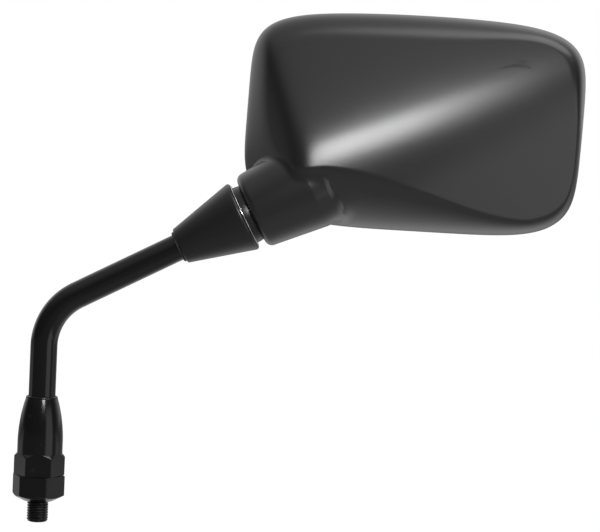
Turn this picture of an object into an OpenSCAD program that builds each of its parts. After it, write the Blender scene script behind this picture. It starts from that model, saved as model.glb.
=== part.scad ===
// Motorcycle mirror: ball-jointed head on a bent steel stem with a threaded stud foot.
// The origin is the centre of the foot's seat face, the stud points down along -Z,
// the stem leans towards +X and the back of the head faces -Y.

/* [Foot] */
// Diameter of the mounting stud
stud_d = 10; // [8:0.5:12]
// Free length of the mounting stud
stud_len = 10.2; // [8:0.2:20]
// Width across the flats of the adapter hexagon
adapter_af = 22; // [20:0.5:26]
// Height of the adapter hexagon
adapter_h = 12.1; // [8:0.1:15]
// Diameter of the flat seat under the adapter hexagon, inside its wide chamfer
adapter_seat_d = 14.4; // [13:0.1:21]
// Turn of the adapter hexagon about the stud
adapter_turn = -8; // [-30:1:30]
// Diameter of the threaded spigot on top of the adapter
spigot_d = 16; // [15:0.5:17]
// Length of the threaded spigot
spigot_len = 12.2; // [9:0.2:16]
// Width across the flats of the cap nut hexagon
nut_af = 21; // [20.5:0.1:24]
// Height of the cap nut hexagon
nut_hex_h = 10.4; // [6:0.1:12]
// Turn of the cap nut hexagon about the stem
nut_turn = 5; // [-30:1:30]
// Height of the whole cap nut
nut_h = 37.4; // [34:0.2:44]
// Largest diameter of the rounded body of the cap nut
nut_body_d = 21.4; // [20:0.1:24]
// Diameter of the cap nut at its top edge
nut_top_d = 15; // [14:0.1:17]
// Height of the straight belt between the hexagon and the taper of the cap nut
nut_belt = 4.9; // [3:0.1:8]
// Rounding of the top edge of the cap nut
nut_edge = 0.9; // [0.5:0.1:1.5]
// Thickness of each of the two washers that clamp the stem flange
foot_washer_t = 1.5; // [1:0.1:2.5]

/* [Stem] */
// Diameter of the stem rod
rod_d = 12.7; // [11:0.1:13]
// Height of the corner where the two straight runs would meet
corner_z = 90.3; // [82:0.1:110]
// Radius of the bend on the centre line of the rod
bend_r = 28; // [18:0.5:34]
// Rise of the upper run above the level
rise = 28; // [20:0.5:40]
// Distance from the corner to the centre of the ball
reach = 105; // [90:1:140]
// Diameter of the flange at the foot of the stem
flange_d = 15.6; // [14.8:0.1:15.8]
// Thickness of the flange at the foot of the stem
flange_t = 3; // [2:0.1:4]
// Diameter of the threaded shank that passes through the ball
shank_d = 8; // [6:0.5:9]

/* [Cone] */
// Distance of the edge of the cone mouth outside the ball
cone_over = 3.25; // [3:0.05:4.5]
// Outer diameter of the cone cover at its small end
cone_tip_d = 17.5; // [16:0.1:19]
// Length of the cone cover
cone_len = 33.6; // [28:0.1:42]
// Wall of the cone cover
cone_wall = 1.7; // [1.6:0.1:2.2]
// Length over which the small end of the cone grips the rod
cone_grip = 6; // [4:0.5:9]
// Width of the flat on the cone mouth inside its rounded edge
cone_land = 0.1; // [0.1:0.1:0.6]
// Section diameter of the sealing ring at the small end
ring_d = 1.2; // [0.8:0.1:1.8]
// Thickness of the pressed steel seat cup
cup_t = 0.9; // [0.6:0.1:1.2]
// Play between the ball and the wall of the seat cup
cup_play = 0.35; // [0.2:0.05:0.6]

/* [Ball joint] */
// Diameter of the ball
ball_d = 28.2; // [27:0.1:29]
// Distance of the cone mouth below the centre of the ball
mouth_drop = 0.7; // [0.5:0.1:2]
// Distance of the neck end above the centre of the ball
neck_lift = 3; // [2.9:0.1:4]
// Distance of the flat under the ball from its centre
ball_flat = 9; // [7:0.1:10]
// Thickness of the friction liner
liner_t = 0.7; // [0.5:0.1:1]
// Thickness of the socket wall between the liner and the pressure cup
socket_t = 2.5; // [2:0.1:3]
// Thickness of the pressure cup
pressure_t = 1.4; // [1:0.1:2]
// Largest tilt of the head in any direction, which sizes the hole round the shank
swing = 13; // [8:0.5:16]
// Play between two round surfaces that slide on each other
slide = 0.1; // [0.05:0.01:0.2]
// Wire diameter of the clamping spring
wire_d = 2.2; // [1.6:0.1:2.4]
// Turns of the clamping spring
spring_turns = 3; // [2:1:3]
// Length of the clamping spring as fitted
spring_len = 10.8; // [10:0.2:14]
// Thickness of the washer under the lock nut
spring_washer_t = 1.5; // [1:0.1:2]
// Width across the flats of the lock nut
lock_af = 13; // [11:0.5:14]
// Height of the lock nut
lock_h = 6.5; // [5:0.1:8]

/* [Head outline] */
// Sideways distance from the ball to the centre of the rim
rim_x = 80; // [76:0.5:90]
// Height of the centre of the rim above the ball
rim_z = 44.2; // [42:0.2:50]
// Distance of the front rim in front of the ball
rim_y = 21; // [20:0.5:26]
// Turn of the head outline about the line of sight
head_roll = 0.8; // [-2:0.1:3]
// Half width of the rim on the stem side
rim_left = 82.1; // [80:0.1:86]
// Half width of the rim on the far side
rim_right = 77.3; // [70:0.1:90]
// Half height of the rim above its centre
rim_top = 54; // [48:0.5:60]
// Drop of the upper edge from its middle to the corners
rim_bow = 4.3; // [0:0.1:6]
// Half height of the rim below its centre
rim_bottom = 48.8; // [47:0.1:52]
// Lean of the short sides of the rim
rim_lean = 0.023; // [0:0.001:0.08]
// Squareness of the upper corner on the stem side
square_top_left = 6.7; // [3:0.1:8]
// Squareness of the upper corner on the far side
square_top_right = 5.7; // [3:0.1:8]
// Squareness of the lower corner on the far side
square_low_right = 5; // [3:0.1:7]
// Squareness of the lower corner on the stem side, where the neck grows out
square_low_left = 3.7; // [2.6:0.1:4.5]

/* [Head back] */
// Wall of the moulded housing
wall = 2.5; // [2:0.1:3]
// Depth of the straight skirt behind the rim
skirt = 6; // [5:0.5:9]
// Place of the nose, the deepest point, from the centre of the rim
nose_u = -55; // [-60:0.5:-50]
// Height of the nose from the centre of the rim
nose_v = -16; // [-20:0.5:-12]
// Depth of the nose behind the rim
nose_depth = 45; // [42:0.5:50]
// Angle of the ridge that runs from the nose to the far upper corner
ridge_angle = 24.6; // [20:0.2:28]
// Distance of the far end of the ridge from the rim on the far side
ridge_gap = 30.5; // [26:0.5:42]
// Loss of depth along the ridge
ridge_fall = 13; // [8:0.5:18]
// Slope of the roof above the ridge
slope_above = 0.40; // [0.3:0.01:0.5]
// Slope of the roof below the ridge
slope_below = 0.19; // [0.1:0.01:0.3]
// Rounding of the ridge at the nose
ridge_soft_nose = 3; // [1:0.2:6]
// Rounding of the ridge at its far end
ridge_soft_end = 9; // [5:0.5:14]
// Slope of the cheek between the nose and the stem side
cheek_slope = 1.2; // [0.8:0.05:1.6]
// Width over which the wall on the stem side rounds into the back
round_left = 14; // [10:0.5:18]
// Width over which the wall on the far side rounds into the back
round_right = 8; // [5:0.5:14]
// Width over which the upper wall rounds into the back
round_top = 14; // [8:0.5:20]
// Width of the lower wall under the nose
round_low_nose = 32; // [26:0.5:34]
// Width of the lower wall at the far end
round_low_end = 7; // [5:0.5:12]
// Fullness of the wall section, 2 is a plain ellipse
fullness = 2.4; // [2:0.1:3]

/* [Neck] */
// Distance of the outside of the neck from the ball, behind its rounded end
neck_over = 4.4; // [4.2:0.1:5.5]
// Widest diameter of the neck, where it meets the lower wall
neck_wide_d = 42.6; // [41:0.2:44]
// Distance of that widest place from the ball
neck_wide_at = 33; // [30:0.5:36]
// Length over which the neck runs out inside the housing, beyond its widest place
neck_root = 14; // [12:1:18]
// Rounding of the neck end
neck_round = 3.5; // [2:0.1:3.8]
// Wall of the neck
neck_wall = 2.2; // [1.8:0.1:2.6]
// Thickness of the neck end around the socket
neck_floor = 4.5; // [4:0.1:5.5]

/* [Glass] */
// Radius of curvature of the convex glass
glass_r = 1400; // [1000:50:2000]
// Thickness of the glass
glass_t = 2; // [1.6:0.1:2.5]
// Distance of the middle of the glass behind the rim
glass_sink = 0.2; // [0:0.1:1]
// Thickness of the adhesive pad behind the glass
pad_t = 0.8; // [0.5:0.1:1.5]
// Thickness of the backing plate
plate_t = 1.8; // [1.5:0.1:2.5]
// Play between the backing plate and the housing
plate_play = 0.3; // [0.2:0.05:0.6]
// Width of the rubber between the glass edge and the housing
gasket_w = 2; // [1.5:0.1:3]
// Width of the gasket lip that overlaps the glass
lip_w = 2; // [1:0.1:3]
// Thickness of the gasket lip
lip_t = 1; // [0.6:0.1:1.2]
// Shank diameter of the plate screws
screw_d = 2.9; // [2.5:0.1:3.5]
// Length of the plate screws
screw_len = 10; // [8:0.5:14]
// Diameter of the screw bosses in the housing
boss_d = 8; // [7:0.5:10]
// Distance of the screws from the middle, sideways
screw_u = 58; // [50:1:62]
// Distance of the screws from the middle, up and down
screw_v = 31; // [26:1:34]
// Distance of the screw beside the neck from the middle, sideways
screw_low_u = 20; // [14:1:24]

/* [Hidden] */
$fn = 96;

// Foot levels
nut_z = adapter_h + 0.2;
spigot_top = adapter_h + spigot_len;
flange_z = spigot_top + foot_washer_t;
shoulder_z = flange_z + flange_t + foot_washer_t;
nut_top = nut_z + nut_h;
nut_taper = nut_h - nut_hex_h - nut_belt - nut_edge;

// Stem
rod_r = rod_d / 2;
bend_swell = 0.05;
bend_lap = 1;
turn = 90 - rise;
tangent = bend_r * tan(turn / 2);
ball_at = [reach * cos(rise), 0, corner_z + reach * sin(rise)];
shank_r = shank_d / 2;

// Ball joint, all radii about the ball centre
ball_r = ball_d / 2;
liner_in = ball_r + slide;
liner_out = liner_in + liner_t;
socket_in = liner_out + slide;
socket_out = socket_in + socket_t;
pressure_in = socket_out + slide;
pressure_out = pressure_in + pressure_t;
hole_angle = asin(shank_r / socket_in) + swing + 3;
liner_hole_angle = hole_angle + 2;
liner_edge_angle = 66;
pressure_edge_angle = 45;
cone_mouth_r = ball_r + cone_over;
neck_r = ball_r + neck_over;
cup_in = ball_r + cup_play;
cup_out = cup_in + cup_t;
cup_floor = -ball_flat - cup_t;
spring_seat = pressure_out + 0.8;
spring_r = spring_seat * tan(21);
washer_at = spring_seat + spring_len;
lock_at = washer_at + spring_washer_t;
shank_end = lock_at + lock_h + 2;

// Head back
ridge_dir = [cos(ridge_angle), sin(ridge_angle)];
ridge_side = [-sin(ridge_angle), cos(ridge_angle)];
nose = [nose_u, nose_v];
ridge_len = (rim_right - ridge_gap - nose_u) / cos(ridge_angle);
cols = 96;
rings = 15;

// Glass stack, distances of each curved face from the centre of curvature
glass_back_r = glass_r - glass_t;
pad_back_r = glass_back_r - pad_t;
plate_back_r = pad_back_r - plate_t;
glass_centre_y = rim_y - glass_sink - glass_r;
glass_inset = wall + gasket_w + 0.1;
screw_sites = [[-screw_u, screw_v], [screw_u, screw_v], [screw_u, -screw_v],
               [-screw_low_u, -screw_v]];
screw_r = screw_d / 2;
head_play = 0.02;
head_z = 0.1 - plate_t;

module at_ball() { translate(ball_at) children(); }

// Puts +Z along the upper run of the stem, away from the foot
module on_axis() { at_ball() rotate([0, turn, 0]) children(); }

// Puts the rim centre at the origin, with x across the head and z up it
module in_head() { at_ball() translate([rim_x, 0, rim_z]) rotate([0, head_roll, 0]) children(); }

module ring(ro, ri, h) {
    difference() {
        cylinder(r = ro, h = h);
        translate([0, 0, -1]) cylinder(r = ri, h = h + 2);
    }
}

module hexagon(af, h) { cylinder(r = af / 2 / cos(30), h = h, $fn = 6); }

// Cone that takes the corners off one end of a hexagon
module corner_cone(inner_r, h, rise_angle) {
    cylinder(r1 = inner_r, r2 = inner_r + h / tan(rise_angle), h = h);
}

module adapter() {
    color([0.07, 0.07, 0.075]) {
        intersection() {
            rotate(adapter_turn) hexagon(adapter_af, adapter_h);
            corner_cone(adapter_seat_d / 2, adapter_h, 28);
        }
        rotate_extrude() polygon([
            [0, -stud_len], [stud_d / 2 - 1, -stud_len], [stud_d / 2, 1 - stud_len],
            [stud_d / 2, 1], [spigot_d / 2, adapter_h - 1], [spigot_d / 2, spigot_top], [0, spigot_top]]);
    }
}

// Radius of the rounded nut body at a height above its thickest level
function nut_radius(z) = let (drop = (nut_body_d - nut_top_d) / 2,
                              arc = (nut_taper * nut_taper + drop * drop) / 2 / drop)
    nut_body_d / 2 - (z > 0 ? arc - sqrt(arc * arc - z * z) : 0);

module cap_nut() {
    bore = rod_r + slide;
    steps = 14;
    side = [for (i = [0:steps]) let (z = nut_taper * i / steps)
            [nut_radius(z), nut_top - nut_edge - nut_taper + z]];
    color([0.08, 0.08, 0.085]) difference() {
        union() {
            translate([0, 0, nut_z]) intersection() {
                rotate(nut_turn) hexagon(nut_af, nut_hex_h);
                translate([0, 0, nut_hex_h]) mirror([0, 0, 1])
                    corner_cone(nut_body_d / 2 - 0.1, nut_hex_h, 50);
            }
            rotate_extrude() polygon(concat(
                [[0, nut_z], [nut_body_d / 2 - 0.2, nut_z]],
                [[nut_body_d / 2 - 0.2, nut_z + nut_hex_h]],
                [[nut_body_d / 2, nut_z + nut_hex_h]],
                side,
                [[nut_top_d / 2 - nut_edge * 0.8, nut_top], [0, nut_top]]));
        }
        translate([0, 0, nut_z - 1]) cylinder(d = spigot_d + 0.1, h = shoulder_z - nut_z + 1);
        cylinder(r = bore, h = nut_top + 1);
    }
}

module friction_washer() {
    color([0.75, 0.74, 0.7]) translate([0, 0, spigot_top])
        ring(flange_d / 2, shank_r, foot_washer_t);
}

module slip_washer() {
    color([0.6, 0.6, 0.62]) translate([0, 0, shoulder_z - foot_washer_t])
        ring(flange_d / 2, rod_r + slide, foot_washer_t);
}

module stem() {
    lower = corner_z - tangent;
    upper = reach - tangent;
    color([0.05, 0.05, 0.055]) {
        translate([0, 0, flange_z]) cylinder(d = flange_d, h = flange_t);
        translate([0, 0, flange_z]) cylinder(r = rod_r, h = lower - flange_z + bend_lap);
        translate([bend_r, 0, lower]) rotate([90, 0, 0]) rotate(180 - turn)
            rotate_extrude(angle = turn) translate([bend_r, 0]) circle(r = rod_r + bend_swell);
        on_axis() translate([0, 0, -upper - bend_lap]) cylinder(r = rod_r, h = upper + cup_floor + bend_lap);
        on_axis() translate([0, 0, cup_floor - 1]) cylinder(r = shank_r, h = shank_end - cup_floor + 1);
    }
}

// Inner radius of the cone cover at a depth below its mouth, opened where the seat cup bulges
function cone_inside(depth) =
    let (mouth = cone_mouth_r - cone_wall - 0.2,
         line = mouth - depth * (mouth - rod_r - 0.95) / (cone_len - cone_grip))
    max(line, sqrt(max(0, pow(cup_out + 0.05, 2) - pow(mouth_drop + depth, 2))));

module cone_cover() {
    tip = -mouth_drop - cone_len;
    tip_r = cone_tip_d / 2;
    bore = rod_r + 0.05;
    lean = atan((cone_mouth_r - tip_r) / cone_len);
    corner = (1 + sin(lean)) / cos(lean);
    edge = (cone_mouth_r - cone_inside(0) - cone_land) / corner;
    edge_r = cone_mouth_r - edge * corner;
    color([0.1, 0.1, 0.105]) on_axis() rotate_extrude() polygon(concat(
        [[bore, tip], [tip_r - 1, tip], [tip_r, tip + 1]],
        [for (a = [-lean:(90 + lean) / 4:90.1])
         [edge_r + edge * cos(a), -mouth_drop - edge + edge * sin(a)]],
        [for (i = [0:8]) let (depth = -cup_floor * i / 8) [cone_inside(depth), -mouth_drop - depth]],
        [[bore + 0.9, tip + cone_grip], [bore, tip + cone_grip]]));
}

module seal_ring() {
    color([0.04, 0.04, 0.04]) on_axis() translate([0, 0, -mouth_drop - cone_len - ring_d / 2])
        rotate_extrude() translate([rod_r + ring_d / 2, 0]) circle(d = ring_d);
}

// Arc about the ball centre below its middle, from one level to another
function cup_arc(r, from_s, to_s) =
    let (start = asin(from_s / r), turned = asin(to_s / r) - start)
    [for (i = [0:8]) let (a = start + turned * i / 8) [r * cos(a), r * sin(a)]];

module seat_cup() {
    lip = 0.3 - mouth_drop;
    color([0.8, 0.8, 0.8]) on_axis() rotate_extrude() polygon(concat(
        [[shank_r + slide, cup_floor]], cup_arc(cup_out, cup_floor, lip),
        cup_arc(cup_in, lip, -ball_flat), [[shank_r + slide, -ball_flat]]));
}

module ball() {
    color([0.09, 0.09, 0.09]) on_axis() difference() {
        sphere(r = ball_r);
        translate([0, 0, -ball_r - 1]) cylinder(r = ball_r + 1, h = ball_r + 1 - ball_flat);
        translate([0, 0, -ball_r - 1]) cylinder(r = shank_r + 0.05, h = 2 * ball_r + 2);
    }
}

// Spherical shell about the ball centre between two angles from the axis
module shell_band(r_out, r_in, from_angle, to_angle) {
    reach_out = 3 * r_out;
    difference() {
        sphere(r = r_out);
        sphere(r = r_in);
        cylinder(r1 = 0, r2 = reach_out * tan(from_angle), h = reach_out);
        translate([0, 0, -r_out - 1]) cylinder(r = r_out + 1, h = r_out + 1 + r_in * cos(to_angle));
    }
}

module liner() {
    color([0.85, 0.84, 0.8]) on_axis()
        shell_band(liner_out, liner_in, liner_hole_angle, liner_edge_angle);
}

module pressure_cup() {
    edge_s = pressure_in * cos(pressure_edge_angle);
    edge_r = pressure_in * sin(pressure_edge_angle) + 0.9;
    color([0.62, 0.62, 0.63]) on_axis() difference() {
        translate([0, 0, edge_s]) cylinder(r1 = edge_r, r2 = spring_r, h = spring_seat - edge_s);
        sphere(r = pressure_in);
        cylinder(r = shank_r + 0.1, h = spring_seat + 1);
    }
}

// Ring of points round the spring wire at one place on the helix
function wire_ring(k, total, r_mean, r_wire, climb) =
    let (turned = 360 * spring_turns * k / total)
    [for (i = [0:7]) let (a = 45 * i, r = r_mean + r_wire * cos(a))
        [r * cos(turned), r * sin(turned), climb * k / total + r_wire * sin(a)]];

module clamp_spring() {
    total = 20 * spring_turns;
    r_wire = wire_d / 2;
    r_mean = spring_r - r_wire - 0.1;
    climb = spring_len - wire_d;
    points = [for (k = [0:total]) each wire_ring(k, total, r_mean, r_wire, climb)];
    sides = [for (k = [0:total - 1], i = [0:7]) let (j = (i + 1) % 8)
             [8 * k + i, 8 * k + 8 + i, 8 * k + 8 + j, 8 * k + j]];
    color([0.55, 0.55, 0.57]) on_axis() translate([0, 0, spring_seat + r_wire])
        polyhedron(points, concat(sides, [[for (i = [0:7]) i]],
                                  [[for (i = [7:-1:0]) 8 * total + i]]), convexity = 6);
}

module spring_washer() {
    color([0.62, 0.62, 0.63]) on_axis() translate([0, 0, washer_at])
        ring(spring_r + 0.2, shank_r + 0.1, spring_washer_t);
}

module lock_nut() {
    color([0.62, 0.62, 0.63]) on_axis() translate([0, 0, lock_at]) difference() {
        union() {
            intersection() {
                hexagon(lock_af, lock_h - 1.5);
                translate([0, 0, lock_h - 1.5]) mirror([0, 0, 1])
                    corner_cone(lock_af / 2 * 0.97, lock_h - 1.5, 30);
            }
            cylinder(d = lock_af - 1.5, h = lock_h);
        }
        translate([0, 0, -1]) cylinder(r = shank_r + 0.02, h = lock_h + 2);
    }
}

// Squareness of the outline corner that lies in a direction
function squareness(c, s) = s > 0 ? (c < 0 ? square_top_left : square_top_right)
                                  : (c < 0 ? square_low_left : square_low_right);

// Point of the rim outline, moved inwards by an inset
function rim_point(a, inset) =
    let (c = cos(a), s = sin(a), n = squareness(c, s),
         f = pow(pow(abs(c), n) + pow(abs(s), n), -1 / n),
         u = ((c < 0 ? rim_left : rim_right) - inset) * c * f,
         half = s > 0 ? rim_top - rim_bow * pow(c * f, 2) : rim_bottom,
         v = (half - inset) * s * f)
    [u + rim_lean * v, v];

function outline(inset) = [for (i = [0:cols - 1]) rim_point(360 * i / cols, inset)];

// The narrower of two heights with a rounded crossing
function soft_min(a, b, k) = (a + b - sqrt((a - b) * (a - b) + k * k)) / 2;

// Depth of the back behind the rim, before the walls round it off
function roof_depth(p, inset) =
    let (q = (p - nose) * ridge_dir, side = (p - nose) * ridge_side,
         share = min(1, max(0, q / ridge_len)),
         soft = ridge_soft_nose + (ridge_soft_end - ridge_soft_nose) * share,
         crest = nose_depth + soft / 2 - ridge_fall * q / ridge_len,
         roof = soft_min(crest - slope_above * side, crest + slope_below * side, soft),
         cheek = nose_depth + 2 + cheek_slope * (p.x - nose_u))
    soft_min(roof - 1.06 * inset, cheek - 1.5 * inset, 5);

// Place on a slim loop round the ridge, where the columns of the back end
function core_point(a) =
    nose + ridge_dir * (ridge_len / 2) * (1 + cos(a)) + ridge_side * 1.5 * sin(a);

// Width over which a wall rounds into the back
function round_width(a, p) =
    let (c = cos(a), s = sin(a), along = min(1, max(0, (p.x - nose_u) / ridge_len)),
         low = round_low_nose + (round_low_end - round_low_nose) * along,
         side = c < 0 ? round_left : round_right)
    side * c * c + (s > 0 ? round_top : low) * s * s;

// Share of the depth that a wall has reached at a share of its width
function wall_rise(f) = f >= 1 ? 1 : pow(1 - pow(1 - f, fullness), 1 / fullness);

// Point of the back at a column angle and a share of the way from rim to ridge
function back_point(a, t, inset) =
    let (r = rim_point(a, inset), k = core_point(a), p = r + (k - r) * t,
         rise_share = wall_rise(norm(k - r) * t / round_width(a, r)))
    [p.x, rim_y - skirt - (roof_depth(p, inset) - skirt) * rise_share, p.y];

// Closed solid of the back, from a flat front at the given y to the ridge
module back_solid(inset, front) {
    shares = [for (i = [0:rings]) pow(i / rings, 1.5)];
    points = concat(
        [for (i = [0:cols - 1]) let (r = rim_point(360 * i / cols, inset)) [r.x, front, r.y]],
        [for (t = shares, i = [0:cols - 1]) back_point(360 * i / cols, t, inset)]);
    last = cols * (rings + 1);
    sides = [for (j = [0:rings], i = [0:cols - 1]) let (n = (i + 1) % cols, b = j * cols)
             each [[b + i, b + cols + n, b + n], [b + i, b + cols + i, b + cols + n]]];
    half = cols / 2;
    lid = [for (i = [1:half - 2])
           each [[last + i, last + cols - i - 1, last + i + 1],
                 [last + i, last + cols - i, last + cols - i - 1]]];
    ends = [[last, last + cols - 1, last + 1],
            [last + half - 1, last + half + 1, last + half]];
    polyhedron(points, concat([[for (i = [0:cols - 1]) i]], sides, lid, ends), convexity = 6);
}

// Straight prism over the outline between two distances in front of the ball
module outline_prism(inset, from_y, to_y) {
    translate([0, to_y, 0]) rotate([90, 0, 0]) linear_extrude(to_y - from_y)
        polygon(outline(inset));
}

module neck_body() {
    r = neck_r;
    far = neck_wide_d / 2;
    rotate_extrude() polygon(concat(
        [[0, neck_lift], [r - neck_round, neck_lift]],
        [for (a = [-75:15:0]) [r - neck_round + neck_round * cos(a),
                               neck_lift + neck_round + neck_round * sin(a)]],
        [[far, neck_wide_at], [far - 0.6, neck_wide_at + neck_root / 2],
         [far - 4, neck_wide_at + neck_root], [0, neck_wide_at + neck_root]]));
}

module neck_room() {
    start = neck_lift + neck_floor;
    far = neck_wide_d / 2 - neck_wall;
    end = neck_wide_at + neck_root + 1;
    difference() {
        rotate_extrude() polygon([[0, start], [neck_r - neck_wall, start], [far, neck_wide_at],
                                  [far - 2, end], [0, end]]);
        sphere(r = socket_out);
    }
    sphere(r = socket_in);
    cylinder(r1 = 0, r2 = 2 * socket_in * tan(hole_angle), h = 2 * socket_in);
}

// Top of a screw boss, where the outer edge of the boss meets the curved backing plate
function post_y(site) = glass_centre_y + sqrt(pow(plate_back_r, 2) - pow(norm(site) + boss_d / 2, 2));

// Puts the origin on top of each screw boss, with +Z down the screw
module at_screws() {
    for (site = screw_sites)
        translate([site.x, post_y(site), site.y]) rotate([90, 0, 0]) children();
}

module housing() {
    color([0.12, 0.12, 0.125]) difference() {
        union() {
            in_head() difference() {
                back_solid(0, rim_y);
                difference() {
                    back_solid(wall, rim_y + 1);
                    at_screws() cylinder(d = boss_d, h = nose_depth + rim_y);
                }
            }
            difference() {
                on_axis() neck_body();
                in_head() outline_prism(wall, post_y(screw_sites[0]) - 1, rim_y + 1);
            }
        }
        on_axis() neck_room();
        in_head() at_screws() translate([0, 0, -1]) cylinder(r = screw_r + 0.05, h = screw_len + 1);
    }
}

// Curved plate over the outline between two distances from the glass centre of curvature
module curved_plate(inset, r_front, r_back) {
    intersection() {
        outline_prism(inset, 0, rim_y + 5);
        translate([0, glass_centre_y, 0]) difference() {
            sphere(r = r_front, $fn = 256);
            sphere(r = r_back, $fn = 256);
        }
    }
}

module mirror_glass() {
    color([0.75, 0.8, 0.85]) in_head() curved_plate(glass_inset, glass_r, glass_back_r);
}

module glass_pad() {
    color([0.2, 0.2, 0.2]) in_head() curved_plate(glass_inset + 1, glass_back_r, pad_back_r);
}

module glass_gasket() {
    color([0.06, 0.06, 0.06]) in_head() difference() {
        curved_plate(wall + 0.1, glass_r + lip_t, pad_back_r);
        curved_plate(glass_inset, glass_r, pad_back_r - 1);
        curved_plate(glass_inset + lip_w, glass_r + lip_t + 1, glass_r - 1);
    }
}

module backing_plate() {
    color([0.15, 0.15, 0.15]) in_head() difference() {
        curved_plate(wall + plate_play, pad_back_r, plate_back_r);
        at_screws() translate([0, 0, head_z - 1]) cylinder(r = screw_r + 0.3, h = plate_t + 2);
        at_screws() translate([0, 0, head_z]) screw_head(head_play, 0.5);
    }
}

// Countersunk head with its rim at z = 0, grown by some play and carried on above the rim
module screw_head(play, above) {
    translate([0, 0, -above])
        cylinder(r1 = screw_d + play + above, r2 = screw_r + play, h = screw_r + above);
}

module plate_screws() {
    color([0.7, 0.7, 0.7]) in_head() at_screws() translate([0, 0, head_z]) {
        screw_head(0, 0);
        cylinder(r = screw_r, h = screw_len);
    }
}

adapter();
cap_nut();
friction_washer();
slip_washer();
stem();
cone_cover();
seal_ring();
seat_cup();
pressure_cup();
clamp_spring();
spring_washer();
lock_nut();
ball();
liner();
housing();
mirror_glass();
glass_gasket();
glass_pad();
backing_plate();
plate_screws();
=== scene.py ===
import math

import bmesh
import bpy
from mathutils import Matrix, Vector
from mathutils.bvhtree import BVHTree


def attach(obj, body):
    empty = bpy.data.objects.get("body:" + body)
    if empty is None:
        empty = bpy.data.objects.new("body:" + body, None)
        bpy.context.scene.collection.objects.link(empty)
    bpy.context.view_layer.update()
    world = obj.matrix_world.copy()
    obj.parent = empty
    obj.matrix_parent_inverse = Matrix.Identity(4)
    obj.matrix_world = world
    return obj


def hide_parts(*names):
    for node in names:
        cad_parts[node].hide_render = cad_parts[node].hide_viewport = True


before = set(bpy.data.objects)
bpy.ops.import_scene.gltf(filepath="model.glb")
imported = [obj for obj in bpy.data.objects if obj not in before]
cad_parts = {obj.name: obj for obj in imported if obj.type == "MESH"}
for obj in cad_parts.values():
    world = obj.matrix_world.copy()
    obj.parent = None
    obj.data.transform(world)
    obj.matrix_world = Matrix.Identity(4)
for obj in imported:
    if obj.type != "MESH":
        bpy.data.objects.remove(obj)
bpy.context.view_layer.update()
print("frame loaded")

# Shapes are worked out in millimetres, at the same places as in the part's source
mm = 0.001
runAngle = 28.0  # of the stem's upper run above the level
ballAt = Vector((92.709, 0.0, 139.595))
headAt = ballAt + Vector((80.0, 0.0, 44.2))
headTurn = 0.8
bendTurn = math.radians(90 - runAngle)
onAxis = Matrix.Translation(ballAt) @ Matrix.Rotation(bendTurn, 4, "Y")
inHead = Matrix.Translation(headAt) @ Matrix.Rotation(math.radians(headTurn), 4, "Y")


class Wire:
    # a shader socket that takes part in sums
    def __init__(self, maker, socket):
        self.maker = maker
        self.socket = socket

    def math(self, operation, first, second):
        return self.maker.add("ShaderNodeMath", {"operation": operation}, {0: first, 1: second})

    def __add__(self, other):
        return self.math("ADD", self, other)

    def __radd__(self, other):
        return self.math("ADD", other, self)

    def __sub__(self, other):
        return self.math("SUBTRACT", self, other)

    def __rsub__(self, other):
        return self.math("SUBTRACT", other, self)

    def __mul__(self, other):
        return self.math("MULTIPLY", self, other)

    def __rmul__(self, other):
        return self.math("MULTIPLY", other, self)


class NodeMaker:
    # adds nodes to one tree
    def __init__(self, owner):
        owner.use_nodes = True
        self.tree = owner.node_tree

    def add(self, kind, settings=None, sockets=None, output=0):
        node = self.tree.nodes.new(kind)
        for name, value in (settings or {}).items():
            setattr(node, name, value)
        for key, value in (sockets or {}).items():
            if isinstance(value, Wire):
                self.tree.links.new(value.socket, node.inputs[key])
            else:
                node.inputs[key].default_value = value
        return Wire(self, node.outputs[output])

    def link(self, wire, socket):
        self.tree.links.new(wire.socket, socket)

    def spread(self, value, low, high):
        return self.add("ShaderNodeMapRange", {"interpolation_type": "SMOOTHSTEP"},
                        {0: value, 1: low, 2: high})

    def noise(self, where, scale, detail, roughness=0.5):
        return self.add("ShaderNodeTexNoise", {"noise_dimensions": "3D"},
                        {"Vector": where, "Scale": scale, "Detail": detail, "Roughness": roughness})

    def mapped(self, where, **values):
        return self.add("ShaderNodeMapping", {"vector_type": "POINT"}, {"Vector": where, **values})

    def mix(self, share, first, second):
        return self.add("ShaderNodeMix", {"data_type": "RGBA"}, {0: share, 6: first, 7: second}, output=2)

    def bump(self, height, shader):
        bump = self.add("ShaderNodeBump", None, {"Strength": 1.0, "Distance": mm, "Height": height})
        self.link(bump, shader.inputs["Normal"])

    def rays(self):
        # what the camera sees, and what is mirrored or passes through
        seen, glossy, through = [self.add("ShaderNodeLightPath", output=name)
                                 for name in ("Is Camera Ray", "Is Glossy Ray", "Is Transmission Ray")]
        return seen, glossy + through


def tinted(base, factor):
    return tuple(c * factor for c in base) + (1.0,)


texture = {"slow": 38.0, "fine": 420.0, "dark": 0.82, "light": 1.18, "roughSwing": 1.6,
           "wornFrom": 0.6, "wornTo": 0.78}


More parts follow.
